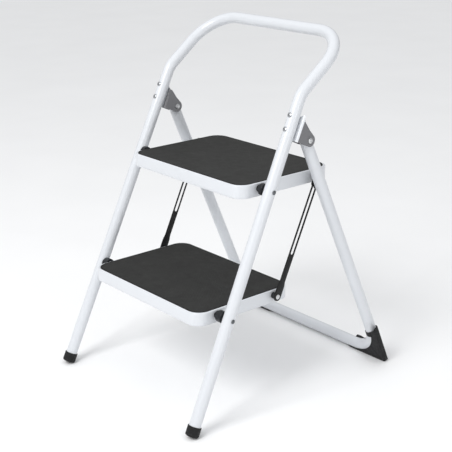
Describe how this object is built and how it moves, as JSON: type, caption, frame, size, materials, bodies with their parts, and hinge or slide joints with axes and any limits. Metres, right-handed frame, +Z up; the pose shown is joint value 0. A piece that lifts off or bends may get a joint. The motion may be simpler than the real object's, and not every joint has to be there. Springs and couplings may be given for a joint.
{
  "type": "step stool",
  "caption": "Folding step stool: bent tube front frame with a raised handle loop, hinged rear frame, pressed steel steps with ribbed mats, slotted side links and rubber feet.",
  "frame": {"origin": "centre of the footprint's bounding box, on the floor, with the stool open", "axes": "+Z up, -Y towards the side that is climbed (front), +X to the right of a person facing the rear, towards +Y"},
  "size_m": [0.503, 0.5876, 0.7649],
  "materials": {
    "white_paint": "gloss powder coat",
    "grey_paint": "satin",
    "black_paint": "satin",
    "black_rubber": "matte",
    "tread_rubber": "fine ribbed",
    "black_plastic": "satin",
    "rivet_steel": "satin zinc"
  },
  "bodies": {
    "front_frame": {"front_frame": "white_paint", "foot_cap_left": "black_rubber", "foot_cap_right": "black_rubber", "hinge_bracket_left": "grey_paint", "hinge_bracket_right": "grey_paint", "bracket_rivet_upper_left": "rivet_steel", "bracket_rivet_lower_left": "rivet_steel", "bracket_rivet_upper_right": "rivet_steel", "bracket_rivet_lower_right": "rivet_steel", "hinge_pin_left": "rivet_steel", "hinge_pin_right": "rivet_steel", "step_pivot_upper_left": "rivet_steel", "step_pivot_upper_right": "rivet_steel", "step_pivot_lower_left": "rivet_steel", "step_pivot_lower_right": "rivet_steel", "step_spacer_upper_left": "black_plastic", "step_spacer_upper_right": "black_plastic", "step_spacer_lower_left": "black_plastic", "step_spacer_lower_right": "black_plastic"},
    "rear_frame": {"rear_frame": "white_paint", "rear_shoe_left": "black_rubber", "rear_shoe_right": "black_rubber", "rear_plug_left": "black_plastic", "rear_plug_right": "black_plastic", "slot_stud_left": "rivet_steel", "slot_stud_right": "rivet_steel", "slot_disc_left": "black_plastic", "slot_disc_right": "black_plastic"},
    "upper_step": {"upper_step": "white_paint", "upper_mat": "tread_rubber", "link_rivet_upper_left": "rivet_steel", "link_rivet_upper_right": "rivet_steel", "link_bush_upper_left": "black_plastic", "link_bush_upper_right": "black_plastic"},
    "lower_step": {"lower_step": "white_paint", "lower_mat": "tread_rubber", "link_rivet_lower_left": "rivet_steel", "link_rivet_lower_right": "rivet_steel", "link_bush_lower_left": "black_plastic", "link_bush_lower_right": "black_plastic"},
    "link_left": {"link_left": "black_paint"},
    "link_right": {"link_right": "black_paint"}
  },
  "joints": [
    {"name": "rear_frame_hinge", "type": "hinge", "parent": "front_frame", "child": "rear_frame", "pos_m": [0, 0.0279, 0.556], "axis": [-1, 0, 0], "range_deg": [0, 49]},
    {"name": "upper_step_hinge", "type": "hinge", "parent": "front_frame", "child": "upper_step", "pos_m": [0, -0.06749, 0.466], "axis": [1, 0, 0], "range_deg": [0, 46]},
    {"name": "lower_step_hinge", "type": "hinge", "parent": "front_frame", "child": "lower_step", "pos_m": [0, -0.17972, 0.224], "axis": [1, 0, 0], "range_deg": [0, 46]},
    {"name": "link_left_hinge", "type": "hinge", "parent": "upper_step", "child": "link_left", "pos_m": [-0.1957, 0.08651, 0.466], "axis": [-1, 0, 0], "range_deg": [0, 46]},
    {"name": "link_right_hinge", "type": "hinge", "parent": "upper_step", "child": "link_right", "pos_m": [0.1957, 0.08651, 0.466], "axis": [-1, 0, 0], "range_deg": [0, 46]}
  ],
  "couplings": [
    {"joint": "upper_step_hinge", "follows": "rear_frame_hinge", "ratio": 0.93877},
    {"joint": "lower_step_hinge", "follows": "rear_frame_hinge", "ratio": 0.93877},
    {"joint": "link_left_hinge", "follows": "rear_frame_hinge", "ratio": 0.93877},
    {"joint": "link_right_hinge", "follows": "rear_frame_hinge", "ratio": 0.93877}
  ]
}
